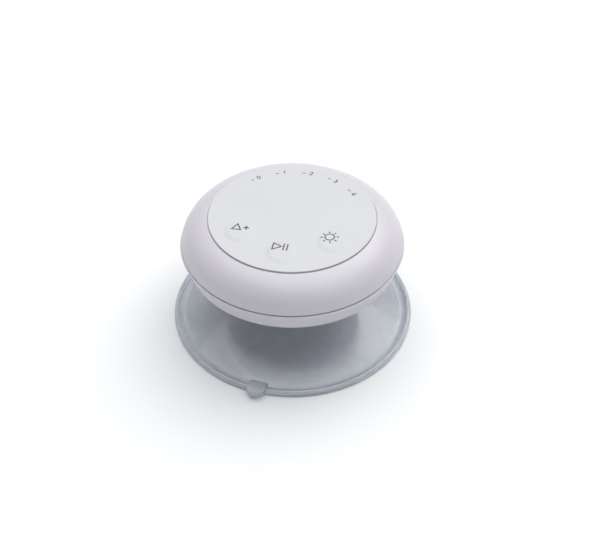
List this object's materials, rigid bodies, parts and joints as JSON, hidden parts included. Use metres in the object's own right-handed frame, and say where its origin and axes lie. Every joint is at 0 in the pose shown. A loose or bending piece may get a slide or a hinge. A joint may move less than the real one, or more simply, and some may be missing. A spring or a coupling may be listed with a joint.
{
  "type": "shower speaker",
  "caption": "Round waterproof speaker puck with a flat three-key control panel and level scale, turning on a hub over a clear suction cup.",
  "frame": {"origin": "centre of the suction cup's sealing plane", "axes": "+Z along the puck's axis, away from the wall or table; the keys are on the -Y side of the panel and the charging flap on the +Y side"},
  "size_m": [0.09, 0.0933, 0.0457],
  "materials": {
    "cup_pvc": "soft translucent grey-blue PVC, polished",
    "shell_white": "satin white moulded ABS",
    "panel_white": "soft-touch white sheet",
    "legend_ink": "dark grey printed ink",
    "rubber_white": "white silicone rubber",
    "rubber_black": "black rubber",
    "rubber_grey": "grey foam and gasket rubber",
    "steel": "plated steel",
    "mesh_steel": "fine black woven mesh",
    "board_green": "green solder mask",
    "chip_black": "black moulded epoxy",
    "clear_acrylic": "clear acrylic",
    "led_lens": "pale yellow LED lens",
    "copper": "copper",
    "capacitor_tan": "tan ceramic chips",
    "connector_cream": "cream nylon",
    "battery_foil": "pouch cell foil",
    "wire_red": "red wire jacket",
    "wire_grey": "grey wire jacket",
    "magnet_dark": "plated magnet",
    "cone_black": "black film diaphragm",
    "membrane_white": "white breathable membrane"
  },
  "bodies": {
    "cup": {"suction_cup": "cup_pvc"},
    "hub": {"swivel_hub": "shell_white", "hub_o_ring": "rubber_black", "hub_washer": "steel", "hub_screw": "steel"},
    "housing": {"base_shell": "shell_white", "top_shell": "shell_white", "housing_gasket": "rubber_grey", "case_screws": "steel", "screw_plugs": "rubber_white", "panel_sheet": "panel_white", "panel_adhesive": "rubber_grey", "scale_marks": "legend_ink", "key_switches": "steel", "main_board": "board_green", "board_screws": "steel", "light_pipe": "clear_acrylic", "scale_leds": "led_lens", "glow_leds": "led_lens", "main_chip": "chip_black", "amplifier_chip": "chip_black", "coil_inductor": "copper", "capacitors": "capacitor_tan", "crystal_can": "steel", "battery_plug": "connector_cream", "battery_cell": "battery_foil", "battery_pad": "rubber_grey", "cell_board": "board_green", "battery_leads": "wire_red", "port_socket": "steel", "port_board": "board_green", "port_ribbon": "copper", "driver_frame": "steel", "driver_yoke": "steel", "driver_magnet": "magnet_dark", "pole_plate": "steel", "voice_coil": "copper", "driver_cone": "cone_black", "driver_gasket": "rubber_black", "driver_leads": "wire_grey", "grille_mesh": "mesh_steel", "vent_membrane": "membrane_white"},
    "up_key": {"key_up": "panel_white", "plunger_up": "chip_black"},
    "play_key": {"key_play": "panel_white", "plunger_play": "chip_black"},
    "light_key": {"key_light": "panel_white", "plunger_light": "chip_black"},
    "flap": {"port_flap": "rubber_white"}
  },
  "joints": [
    {"name": "cup_press", "type": "slide", "parent": "cup", "child": "hub", "axis": [0, 0, -1], "range_m": [0, 0.006], "stiffness_N_per_m": 4000, "springref_m": -0.0005, "deforming": ["suction_cup"]},
    {"name": "swivel", "type": "hinge", "parent": "hub", "child": "housing", "pos_m": [0, 0, 0.0285], "axis": [0, 0, 1], "continuous": true},
    {"name": "key_up_press", "type": "slide", "parent": "housing", "child": "up_key", "axis": [0, 0, -1], "range_m": [0, 0.00035], "stiffness_N_per_m": 3000},
    {"name": "key_play_press", "type": "slide", "parent": "housing", "child": "play_key", "axis": [0, 0, -1], "range_m": [0, 0.00035], "stiffness_N_per_m": 3000},
    {"name": "key_light_press", "type": "slide", "parent": "housing", "child": "light_key", "axis": [0, 0, -1], "range_m": [0, 0.00035], "stiffness_N_per_m": 3000},
    {"name": "port_flap_hinge", "type": "hinge", "parent": "housing", "child": "flap", "pos_m": [0, 0.03985, 0.0332], "axis": [1, 0, 0], "range_deg": [0, 110], "stiffness_Nm_per_rad": 0.002, "springref_deg": -11.46}
  ]
}
